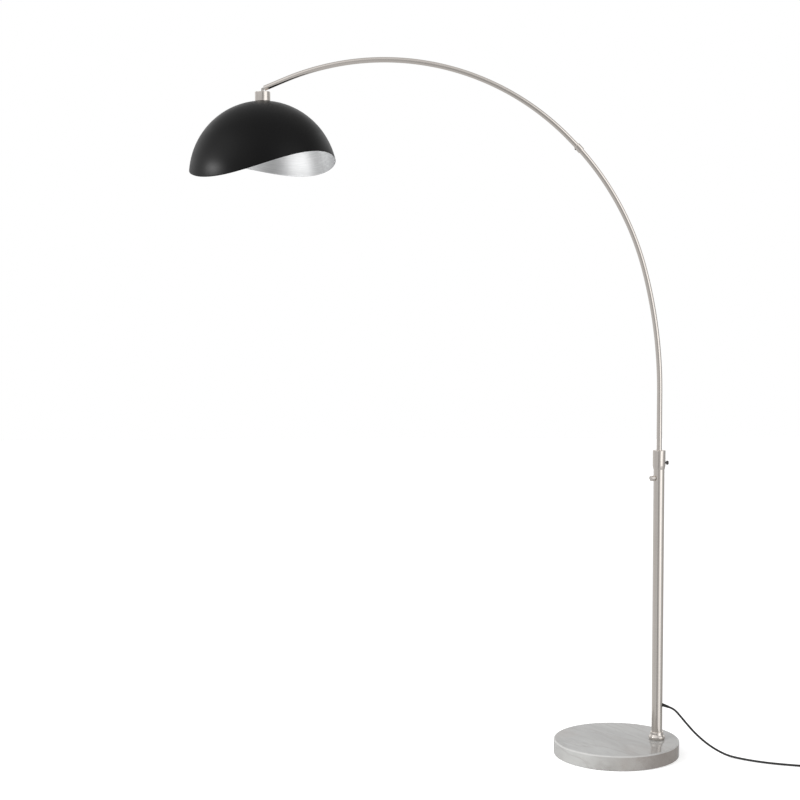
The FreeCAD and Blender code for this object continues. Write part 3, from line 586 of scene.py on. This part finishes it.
def make_plug():
    """The plug body: rounded oblong sections along +Y, ribbed at the cord and waisted at the grip.

    point = (half width * |cos|^p, y, half height * |sin|^p), a rounded oblong whose corners
    soften towards the cord.
    """
    back = np.array(PLUG_BACK)
    y = np.linspace(0, 37, 75)
    taper = np.clip(y / 16, 0, 1)
    body = np.clip((y - 13) / 7, 0, 1)
    body = body * body * (3 - 2 * body)
    ribs = 0.35 * (y > 2) * (y < 13) * (np.cos(y / 2.4 * math.tau) < 0)
    front = np.sqrt(np.clip(1 - (np.clip(y - 34.5, 0, 2.5) / 2.5) ** 2, 0, 1)) * 1.8 - 1.8
    waist = 1.1 * np.exp(-(((y - 25) / 5) ** 2))
    half_width = (4.0 + 2.0 * taper) * (1 - body) + (13 - waist) * body + front - ribs
    half_height = (4.0 + 2.0 * taper) * (1 - body) + 7.4 * body + front - ribs
    power = 1 - 0.52 * body
    angle = (np.arange(64) + 0.5) / 64 * math.tau
    across = np.cos(angle)
    up = np.sin(angle)
    x = half_width[:, None] * np.sign(across) * np.abs(across) ** power[:, None]
    z = half_height[:, None] * np.sign(up) * np.abs(up) ** power[:, None]
    grid = np.stack([-x, np.broadcast_to(y[:, None], x.shape), z], axis=-1)
    cap = grid[-1:] * [[0, 1, 0]]
    tail = grid[:1] * [[0, 1, 0]]
    points = back + np.concatenate([tail, grid, cap]) * MM
    return mesh_piece("plug", points, "root", [plug_plastic], ["plug_body"])


def make_tie():
    """A flat band round the coil's bundle: a rounded oblong loop with a thin flat section."""
    low, high = span("cord_tie")
    centre = (low + high) / 2
    half = (high - low) / 2
    angle = np.arange(72) / 72 * math.tau
    section = rounded([(-2.5, -0.5, 0.12), (2.5, -0.5, 0.12), (2.5, 0, 0.12), (-2.5, 0, 0.12)], step=30)
    power = 0.42
    across = np.sign(np.cos(angle)) * np.abs(np.cos(angle)) ** power
    up = np.sign(np.sin(angle)) * np.abs(np.sin(angle)) ** power
    depth = section[:, 1] * MM
    y = (half[1] + depth)[None, :] * across[:, None]
    z = (half[2] + depth)[None, :] * up[:, None]
    x = np.broadcast_to(section[:, 0] * MM, y.shape)
    points = centre + np.stack([x, y, z], axis=-1)
    return mesh_piece("cord_tie_band", points, "root", [tie_cloth], ["cord_tie"], loop=True)


# --- base and pole ----------------------------------------------------------------------------
def make_base():
    low, high = span("marble_base")
    radius = (high[0] - low[0]) / 2 / MM
    top = high[2] / MM
    bottom = low[2] / MM
    marble = polished_marble((low + high) / 2, radius * MM, high[2])
    turned("marble_disc",
           [(0, bottom, 0), (radius, bottom, 1.5), (radius, top, 3.5), (0, top, 0)],
           (0, 0, 0), "root", [marble], "marble", columns=256, closed=False, replaced=["marble_base"])


def make_pole():
    low, high = span("lower_pole")
    inner = POLE_RADIUS / MM - 1.5
    outer = POLE_RADIUS / MM
    turned("pole", [(outer, low[2] / MM, 0.2), (outer, high[2] / MM, 0.3), (inner, high[2] / MM, 0),
                    (inner, low[2] / MM, 0)],
           pole_at(), "root", [nickel], "nickel", columns=128, replaced=["lower_pole"])
    turned("foot_flange",
           [(outer + 0.05, 0, 0), (22.6, 0, 0.3), (24.8, 4, 2.5), (24.8, 9, 4), (20.2, 14.5, 3),
            (19.7, 23.5, 2.2), (outer + 0.05, 23.5, 0)],
           pole_at(MARBLE_TOP), "root", [nickel], "nickel", columns=128, replaced=["base_flange"])


def make_collar():
    """The collar, with a well in its inner wall where the lock screw's pad comes through."""
    low, high = span("pole_collar")
    foot, top = low[2] / MM, high[2] / MM
    bore, well_radius, well_depth = 12, 3.4 * MM, 6.2 * MM
    screw_height = middle("lock_screw")[2]

    def well(angle, radius, height):
        away = np.hypot(radius * np.sin(angle), height - screw_height)
        return well_depth * ((radius < (bore + 0.5) * MM) & (radius > (bore - 0.5) * MM)
                             & (np.cos(angle) > 0) & (away < well_radius))

    inner_wall = [(bore, z, 0) for z in np.linspace(top - 3, foot + 10, 48)]
    turned("pole_collar_sleeve",
           [(16.55, foot, 0), (17.1, foot, 0.2), (19.25, foot + 11, 5), (19.25, top, 1.2),
            (8.6, top, 0.4), (8.6, top - 3, 0), *inner_wall, (16.55, foot + 10, 0)],
           pole_at(), "root", [nickel], "nickel", columns=128, replaced=["pole_collar"], ripple=well)


def knurl(count, depth, low, high, edge):
    """A ripple that cuts straight flutes round a head between two heights, in millimetres."""
    def ripple(angle, radius, height):
        flutes = np.abs(np.cos(angle * count / 2)) ** 0.7
        there = (height > low * MM) & (height < high * MM) & (radius > edge * MM)
        return -depth * MM * flutes * there
    return ripple


def make_lock():
    low, high = span("lock_screw")
    z = (low[2] + high[2]) / 2
    turned("collar_thumb_screw",
           [(0, 0, 0), (2.45, 0, 0.3), (2.45, 10.5, 0), (5.4, 10.5, 0), (6.1, 11.2, 0.2), (6.2, 13.9, 0.1),
            (6.2, 16.5, 0.2), (5.3, 17.4, 0.4), (2.2, 17.4, 0.2), (1.9, 17.0, 0.2), (0, 17.0, 0)],
           (low[0], 0, z), "lock_screw", [dark_steel], "dark_screw", direction=(1, 0, 0), columns=180,
           closed=False, replaced=["lock_screw"], ripple=knurl(30, 0.35, 11.0, 16.9, 5.0))


def make_dimmer():
    """The ring nut on the pole's face, and the knob's cap and core, all round the dimmer's axis."""
    heading = math.radians(210)
    toward = np.array([math.cos(heading), math.sin(heading), 0])
    z = middle("dimmer_shaft")[2]
    nut_place = pole_at(z) + toward * 16.6 * MM
    knob_place = pole_at(z) + toward * 19.4 * MM
    turned("dimmer_ring_nut", [(4, 0, 0), (6.1, 0, 0.2), (6.3, 0.5, 0.2), (6.3, 2, 0.5), (4, 2, 0.2)],
           nut_place, "root", [bright_nickel], "nickel", direction=toward,
           columns=72, replaced=["dimmer_nut"])
    turned("dimmer_knob_cap",
           [(6.9, 0, 0.2), (7.7, 0, 0.3), (7.9, 1.2, 0.5), (7.9, 12.5, 1.6), (6.2, 12.5, 0.2),
            (5.9, 12.3, 0.3), (0, 12.3, 0)],
           knob_place, "dimmer_knob", [bright_nickel], "nickel", direction=toward,
           columns=120, closed=False, replaced=["dimmer_knob"])
    turned("dimmer_knob_core", [(2.6, 3.0, 0), (6.9, 3.0, 0.2), (6.9, 11, 0), (2.6, 11, 0)],
           knob_place, "dimmer_knob", [dark_steel], "nickel", direction=toward,
           columns=48)


# --- arm --------------------------------------------------------------------------------------
ARM_RADIUS, ARM_WALL = 8.0, 1.2
LOWER_RUNS = [(237.5,), (1437.9, 14.99), (862.2, 27.52)]
KINK = 1.78
JOINT_GAP = 0.3
UPPER_RUNS = [(40.6,), (772.1, 67.95), (66.3,)]


def arm_tube(name, node, start, heading, runs):
    """One tube of the arm: out along its line at the outer radius and back at the inner one."""
    path, tangents, lengths, last = line_of(start, heading, runs)
    inner = ARM_RADIUS - ARM_WALL
    edge = 0.25
    rim = ARM_RADIUS - edge
    ends = [(0, rim, 0), (0, ARM_RADIUS, edge), (-1, ARM_RADIUS, -edge), (-1, rim, 0)]
    spots = [path[k] + tangents[k] * shift * MM for k, _, shift in ends]
    rims = [radius for _, radius, _ in ends]
    count = len(path)
    out_path = np.concatenate([spots[:2], path[1:-1], spots[2:], path[::-1]])
    out_tangents = np.concatenate([tangents[:1], tangents, tangents[-1:], tangents[::-1]])
    out_lengths = np.concatenate([lengths[:1], lengths, lengths[-1:], lengths[::-1]])
    outer_radii = np.full(count - 2, ARM_RADIUS)
    radii = np.concatenate([rims[:2], outer_radii, rims[2:], np.full(count, inner)]) * MM
    swept(name, out_path, out_tangents, radii, "arm", [tube_nickel], [node], along=out_lengths)
    return path[-1], last


def make_arm():
    foot = span("lower_arm_tube")[0][2]
    joint, heading = arm_tube("lower_arm", "lower_arm_tube", pole_at(foot), 90, LOWER_RUNS)
    middle_turn = math.radians(heading + KINK / 2)
    direction = np.array([math.cos(middle_turn), 0, math.sin(middle_turn)])
    upper_turn = math.radians(heading + KINK)
    start = joint + np.array([math.cos(upper_turn), 0, math.sin(upper_turn)]) * JOINT_GAP * MM
    arm_tube("upper_arm", "upper_arm_tube", start, heading + KINK, UPPER_RUNS)
    turned("arm_joint_sleeve",
           [(8.4, 0, 0.2), (10.25, 0, 0.8), (10.25, 22, 0.8), (8.4, 22, 0.2)],
           joint - direction * 11 * MM, "arm", [nickel], "nickel", direction=direction, columns=72,
           replaced=["arm_coupler"])


# --- shade ------------------------------------------------------------------------------------
DOME_RADIUS, DOME_RISE, DOME_WALL = 220.7, 224.9, 1.2
DOME_TOP = 1983.3
RIM_HEIGHT, RIM_WAVE, RIM_WAVE_HEADING = 1789.9, 28.76, 8.18
RIM_LEAN, RIM_LEAN_HEADING = 15.1, -9.9
DOME_HOLE = 19.7


def rim_turn(angle, less):
    """How far down from the top the shade goes in each direction: where the egg meets the rim.

    The rim's height is a saddle, a product of the two distances along and across its wave's
    heading, plus a lean.  The turn is found by halving the range 45 times for all at once.
    """
    along_x, along_y = math.cos(math.radians(RIM_WAVE_HEADING)), math.sin(math.radians(RIM_WAVE_HEADING))
    lean = math.radians(RIM_LEAN_HEADING)
    low = np.full_like(angle, math.radians(30))
    high = np.full_like(angle, math.radians(130))
    for _ in range(45):
        turn = (low + high) / 2
        x = (DOME_RADIUS - less) * np.sin(turn) * np.cos(angle)
        y = (DOME_RADIUS - less) * np.sin(turn) * np.sin(angle)
        z = DOME_TOP - DOME_RISE + (DOME_RISE - less) * np.cos(turn)
        along = x * along_x + y * along_y
        across = y * along_x - x * along_y
        saddle = 2 * RIM_WAVE / DOME_RADIUS**2 * along * across
        rim = RIM_HEIGHT - saddle + RIM_LEAN / DOME_RADIUS * (x * math.cos(lean) + y * math.sin(lean))
        above = z > rim
        low = np.where(above, turn, low)
        high = np.where(above, high, turn)
    return turn


def dome_skin(angle, share, less):
    """The egg's skin: share 0 is the hole at the top and 1 is the rim, in every direction."""
    first = math.asin(DOME_HOLE / DOME_RADIUS)
    turn = first + share[:, None] * (rim_turn(angle, less) - first)[None, :]
    ring = (DOME_RADIUS - less) * np.sin(turn)
    height = DOME_TOP - DOME_RISE + (DOME_RISE - less) * np.cos(turn)
    points = np.stack([ring * np.cos(angle), ring * np.sin(angle), height], axis=-1)
    return points, turn * DOME_RADIUS


def make_dome():
    """The shade: the outer skin up from the rim, the inner skin down again, and a rolled rim."""
    columns = 288
    angle = np.arange(columns) / columns * math.tau
    share = np.linspace(0, 1, 97)
    outer, outer_length = dome_skin(angle, share[::-1], 0)
    inner, inner_length = dome_skin(angle, share, DOME_WALL)
    half = (outer[0] - inner[-1]) / 2
    centre = (outer[0] + inner[-1]) / 2
    down = outer[0] - outer[1]
    down /= np.linalg.norm(down, axis=-1, keepdims=True)
    roll = np.radians([36, 72, 108, 144])[:, None, None]
    edge = centre - np.cos(roll) * half + np.sin(roll) * down * DOME_WALL / 2
    points = shade_at() + np.concatenate([outer, inner, edge]) * MM
    edge_length = np.full(4, outer_length[0, 0])
    length = np.concatenate([outer_length[:, 0], inner_length[:, 0], edge_length]) * MM
    inside = np.concatenate([np.zeros(len(share)), np.ones(len(share)), [0, 0, 0, 0]])
    mesh_piece("dome", points, "shade", [paint, spun_silver], ["dome_shade"],
               along=length, loop=True, row_material=inside)


def make_cup():
    low, high = span("socket_cup")
    foot, top = low[2] / MM, high[2] / MM
    turned("lampholder_cup",
           [(21.55, foot, 0), (22.6, foot, 0.3), (22.75, foot + 1, 0.5), (22.75, top, 1.4), (4.95, top, 0),
            (4.95, top - 1.3, 0), (21.55, top - 1.3, 0.6)],
           shade_at(), "shade", [nickel], "nickel", columns=128, replaced=["socket_cup"])


def make_lampholder():
    low, high = span("lamp_socket")
    foot, top = low[2] / MM, high[2] / MM
    turned("lampholder_body",
           [(15, foot, 0.4), (19.4, foot, 1), (19.4, foot + 14, 0.2), (18.9, foot + 14.4, 0.2),
            (18.9, foot + 16.8, 0.2), (19.4, foot + 17.2, 0.2), (19.4, top - 6, 2), (16, top, 1.2),
            (4.95, top, 0), (4.95, top - 5, 0), (15, top - 5, 0.5)],
           shade_at(), "shade", [phenolic], "phenolic", columns=96, replaced=["lamp_socket"])
    low, high = span("shade_ring")
    foot, top = low[2] / MM, high[2] / MM
    turned("shade_clamp_ring",
           [(19.5, foot, 0.2), (25.5, foot, 1), (25.5, top, 0.3), (19.5, top, 0.2)],
           shade_at(), "shade", [phenolic], "phenolic", columns=144, replaced=["shade_ring"],
           ripple=knurl(36, 0.7, foot - 1, top + 1, 24))

    def thread(angle, radius, height):
        return 0.35 * MM * np.sin(height / (3.63 * MM) * math.tau - angle)

    low, high = span("socket_shell")
    foot, top = low[2] / MM, high[2] / MM
    steps = np.linspace(foot, top, 70)
    wall = [(14.9 - 0.45, z, 0) for z in steps] + [(14.55 - 0.45, z, 0) for z in steps[::-1]]
    turned("lampholder_screw_shell", wall, shade_at(), "shade", [brass], "brass", columns=72,
           replaced=["socket_shell"], ripple=thread)


def make_bulb():
    """A round opal bulb: a globe, a short cone to its neck, and a screw cap with a real thread."""
    low, _ = span("bulb_glass")
    radius = 30.0
    centre = low[2] / MM + radius
    neck_top, neck = 1955.2, 12.4
    globe_end, waist = 48, 0.55
    globe = np.radians(np.linspace(-90, globe_end, 44))
    shape = [(radius * math.cos(a), centre + radius * math.sin(a), 0) for a in globe]
    shape[0] = (0, centre - radius, 0)
    last_r, last_z = shape[-1][:2]
    blend = np.linspace(0, 1, 22)[1:]
    span_z = neck_top - last_z
    for t in blend:
        ease = t * t * (3 - 2 * t)
        straight = last_r + (neck - last_r) * t
        drawn_in = neck + (straight - neck) * waist
        shape.append((straight * (1 - ease) + drawn_in * ease, last_z + span_z * t, 0))
    shape.append((0, neck_top, 0))
    turned("opal_bulb", shape, shade_at(), "bulb", [opal], "bulb_glass", columns=96, closed=False,
           replaced=["bulb_glass"])

    def thread(angle, radius, height):
        up = height / MM
        there = np.clip((up - 1958.5) / 2, 0, 1) * np.clip((1977 - up) / 2, 0, 1) * (radius > 12 * MM)
        return 0.42 * MM * (np.sin(up / 3.63 * math.tau - angle) - 1) * there

    heights = np.linspace(1958, 1977.3, 90)
    cap = [(0, 1955.3, 0), (12.4, 1955.3, 0.3), (12.8, 1956.5, 0.2)]
    cap += [(13.15, z, 0) for z in heights]
    cap += [(11.6, 1979, 0.6), (5.2, 1981.6, 0.3), (4.6, 1982.6, 0.2), (4.2, 1983.8, 0.5), (0, 1983.8, 0)]
    turned("bulb_screw_cap", cap, shade_at(), "bulb", [zinc], "bulb_cap", columns=96, closed=False,
           replaced=["bulb_cap"], ripple=thread)


# --- the room ---------------------------------------------------------------------------------
def make_floor():
    """A white floor that lights the lamp from below and is left out of its metal's reflections."""
    mesh = bpy.data.meshes.new("floor")
    half = 9.0
    drop = -0.2 * MM
    corners = [(-half, -half, drop), (half, -half, drop), (half, half, drop), (-half, half, drop)]
    mesh.from_pydata(corners, [], [(0, 1, 2, 3)])
    finish = Finish("white_floor", (0.9, 0.9, 0.9), 1.0, Specular_IOR_Level=0, Emission_Strength=0.5)
    finish.shader.inputs["Emission Color"].default_value = (1, 1, 1, 1)
    mesh.materials.append(finish.material)
    floor = bpy.data.objects.new("floor", mesh)
    scene.collection.objects.link(floor)
    floor.visible_glossy = False


def make_light():
    """Soft studio light all round, stronger in a few wide boxes, with a white background.

    Each box is (azimuth, half width, elevation, half height, softness, strength), in degrees.
    Azimuth 0 is the front (-Y) and +90 is the right (+X).
    """
    boxes = [
        (38, 19, -14, 12, 5, 0.46),
        (38, 19, -5, 6, 4, 0.36),
        (52, 22, 20, 22, 5, 0.75),
        (-12, 9, -14, 14, 4, -0.26),
        (7, 9, 8, 7, 4, -0.26),
        (118, 36, 10, 40, 10, -0.14),
        (-50, 36, 42, 26, 12, 0.3),
        (30, 60, 50, 26, 12, 0.12),
        (180, 60, 17, 10, 6, 0.45),
        (-128, 18, -8, 14, 6, 0.12),
        (-20, 18, -38, 14, 6, -0.1),
        (-70, 26, 34, 14, 8, 0.7),
    ]
    world = bpy.data.worlds.new("studio")
    scene.world = world
    world.use_nodes = True
    tree = world.node_tree
    tree.nodes.clear()

    def node(kind, **settings):
        made = tree.nodes.new(kind)
        for name, value in settings.items():
            setattr(made, name, value)
        return made

    def calculate(operation, *values):
        made = node("ShaderNodeMath", operation=operation)
        for socket, value in zip(made.inputs, values):
            if isinstance(value, bpy.types.NodeSocket):
                tree.links.new(value, socket)
            else:
                socket.default_value = value
        return made.outputs[0]

    def wall(value, centre, half, soft):
        away = calculate("ABSOLUTE", calculate("SUBTRACT", value, math.radians(centre)))
        away = calculate("MINIMUM", away, calculate("SUBTRACT", math.tau, away))
        made = node("ShaderNodeMapRange", interpolation_type="SMOOTHSTEP")
        tree.links.new(away, made.inputs[0])
        limits = (math.radians(half - soft), math.radians(half + soft), 1, 0)
        for socket, number in zip(list(made.inputs)[1:5], limits):
            socket.default_value = number
        return made.outputs[0]

    parts = node("ShaderNodeSeparateXYZ")
    tree.links.new(node("ShaderNodeTexCoord").outputs["Generated"], parts.inputs[0])
    x, y, z = parts.outputs
    azimuth = calculate("ARCTAN2", x, calculate("MULTIPLY", y, -1))
    elevation = calculate("ARCSINE", z)
    fill = 0.54
    total = fill
    for centre, half, up, half_up, soft, strength in boxes:
        beside = wall(azimuth, centre, half, soft)
        above = wall(elevation, up, half_up, soft)
        box = calculate("MULTIPLY", beside, above)
        total = calculate("ADD", total, calculate("MULTIPLY", box, strength))
    studio = node("ShaderNodeBackground")
    tree.links.new(total, studio.inputs["Strength"])
    white = node("ShaderNodeBackground")
    white.inputs["Color"].default_value = (1, 1, 1, 1)
    white.inputs["Strength"].default_value = 1
    studio.inputs["Color"].default_value = (1, 1, 1, 1)
    choose = node("ShaderNodeMixShader")
    tree.links.new(node("ShaderNodeLightPath").outputs["Is Camera Ray"], choose.inputs[0])
    tree.links.new(studio.outputs[0], choose.inputs[1])
    tree.links.new(white.outputs[0], choose.inputs[2])
    tree.links.new(choose.outputs[0], node("ShaderNodeOutputWorld").inputs[0])


def make_soft_box(name, place, target, width, height, radiance, in_reflections=True):
    """A small soft box, aimed at a point of the lamp and left out of the picture.

    One that isn't in reflections lights only what is matt, and leaves no streak in the metal.
    """
    lamp = bpy.data.lights.new(name, "AREA")
    lamp.shape = "RECTANGLE"
    lamp.size = width
    lamp.size_y = height
    lamp.energy = radiance * math.pi * width * height
    box = bpy.data.objects.new(name, lamp)
    scene.collection.objects.link(box)
    aim = Vector(target) - Vector(place)
    box.matrix_world = Matrix.Translation(place) @ aim.to_track_quat("-Z", "Y").to_matrix().to_4x4()
    box.visible_camera = False
    box.visible_glossy = in_reflections


# --- frame nodes that stay --------------------------------------------------------------------
STAYING = {
    "base_felt": felt,
    "base_washer": zinc,
    "base_spring_washer": zinc,
    "base_bolt": zinc,
    "pole_foot_plug": zinc,
    "pole_lead": jacket,
    "arm_lead": jacket,
    "dimmer_body": dimmer_plastic,
    "dimmer_shaft": zinc,
    "upper_bush": nylon,
    "lower_bush": nylon,
    "stem_end_bush": nylon,
    "lock_pad": nylon,
    "coupler_grub_screw": dark_steel,
    "coupler_spigot": zinc,
    "arm_tip_plug": bright_nickel,
    "tilt_pin": bright_nickel,
    "shade_knuckle": bright_nickel,
    "cup_nut": zinc,
    "socket_contact": brass,
    "plug_blades": brass,
}

make_camera()
boot = make_boot()
plug = make_plug()
tie = make_tie()
make_cord()
make_dome()
make_base()
make_pole()
make_collar()
make_lock()
make_dimmer()
make_arm()
make_cup()
make_lampholder()
make_bulb()
for name, finish in STAYING.items():
    wear(name, finish)
make_floor()
make_light()
make_soft_box("side_box", (-1.53, -0.24, 1.83), (-1.20, -0.15, 1.78), 0.17, 0.05, 28)
make_soft_box("mouth_box", (-1.62, -0.22, 1.55), (-0.93, 0.10, 1.79), 0.55, 0.30, 2.0)
make_soft_box("base_box", (-0.95, -0.75, 0.75), (-0.05, -0.10, 0.05), 0.5, 0.4, 13, in_reflections=False)
